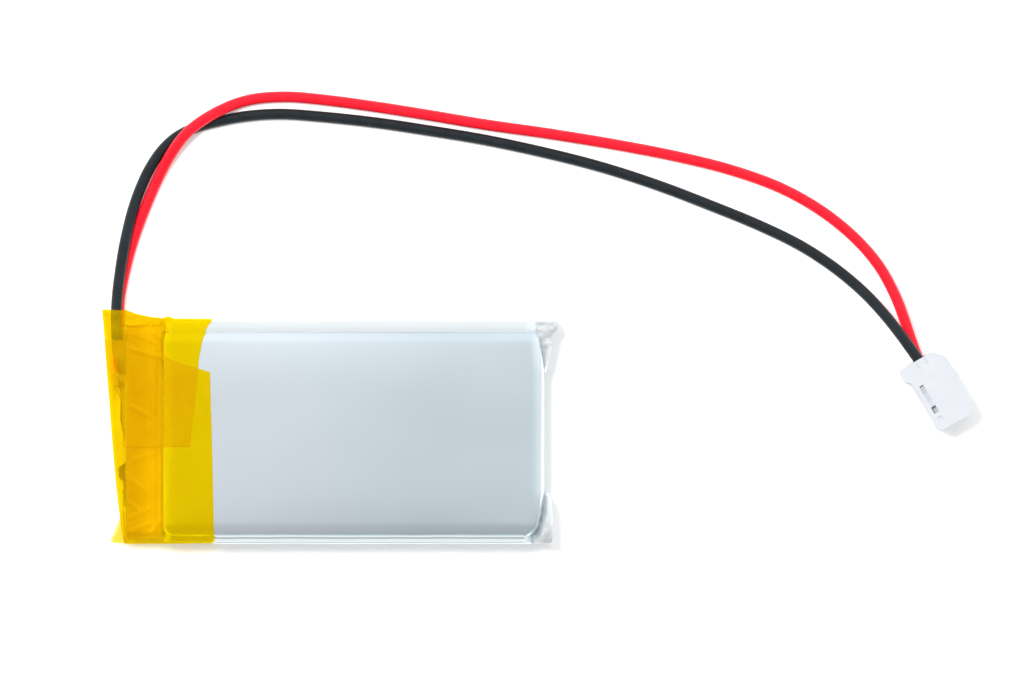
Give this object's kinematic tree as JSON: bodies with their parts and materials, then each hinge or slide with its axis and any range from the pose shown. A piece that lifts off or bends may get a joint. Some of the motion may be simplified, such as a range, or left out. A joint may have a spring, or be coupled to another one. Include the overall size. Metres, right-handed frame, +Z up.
{
  "type": "pouch battery cell",
  "caption": "Flat foil pouch battery cell with a taped protection board at one end, a red and a black lead, and a small crimp plug.",
  "frame": {"origin": "bottom centre of the cell, measured without its leads and plug", "axes": "+X along the cell from the taped head to the folded end, +Y across it towards the side the leads leave, +Z up out of the face"},
  "size_m": [0.0951, 0.0499, 0.006],
  "materials": {
    "laminate": "satin silver, thin clear nylon skin over aluminium foil",
    "cathode": "matt black coating on aluminium foil",
    "anode": "matt graphite coating on copper foil",
    "separator": "matt white film",
    "winding_tape": "thin green film",
    "aluminium_tab": "plain rolled aluminium",
    "nickel": "rolled nickel, a little warm",
    "seal_film": "milky heat-seal film",
    "insulating_paper": "matt insulating paper",
    "board": "green solder resist on glass laminate",
    "chip": "matt black moulding",
    "chip_capacitor": "matt tan ceramic",
    "amber_tape": "clear amber film, glossy, lightly creased",
    "copper_strands": "tinned copper strands",
    "solder": "bright tin solder",
    "red_insulation": "soft red insulation, low sheen",
    "black_insulation": "soft black insulation, low sheen",
    "nylon": "natural white nylon, satin",
    "contact_metal": "tin-plated phosphor bronze"
  },
  "bodies": {
    "root": {"pouch_laminate": "laminate", "cathode_foil": "cathode", "anode_foil": "anode", "separator_inner": "separator", "separator_outer": "separator", "winding_end_tape": "winding_tape", "positive_tab": "aluminium_tab", "negative_tab": "nickel", "positive_tab_film": "seal_film", "negative_tab_film": "seal_film", "insulating_paper": "insulating_paper", "board_cover_paper": "insulating_paper", "circuit_board": "board", "mosfet_chip": "chip", "protection_chip": "chip", "supply_resistor": "chip", "sense_resistor": "chip", "filter_capacitor": "chip_capacitor", "positive_nickel_strip": "nickel", "negative_nickel_strip": "nickel", "tape_wrap": "amber_tape", "tape_overlap": "amber_tape", "red_wire_board_end": "copper_strands", "black_wire_board_end": "copper_strands", "red_solder_joint": "solder", "black_solder_joint": "solder", "red_wire": "red_insulation", "black_wire": "black_insulation", "red_wire_plug_end": "copper_strands", "black_wire_plug_end": "copper_strands", "plug_housing": "nylon", "red_contact": "contact_metal", "black_contact": "contact_metal"}
  },
  "joints": []
}
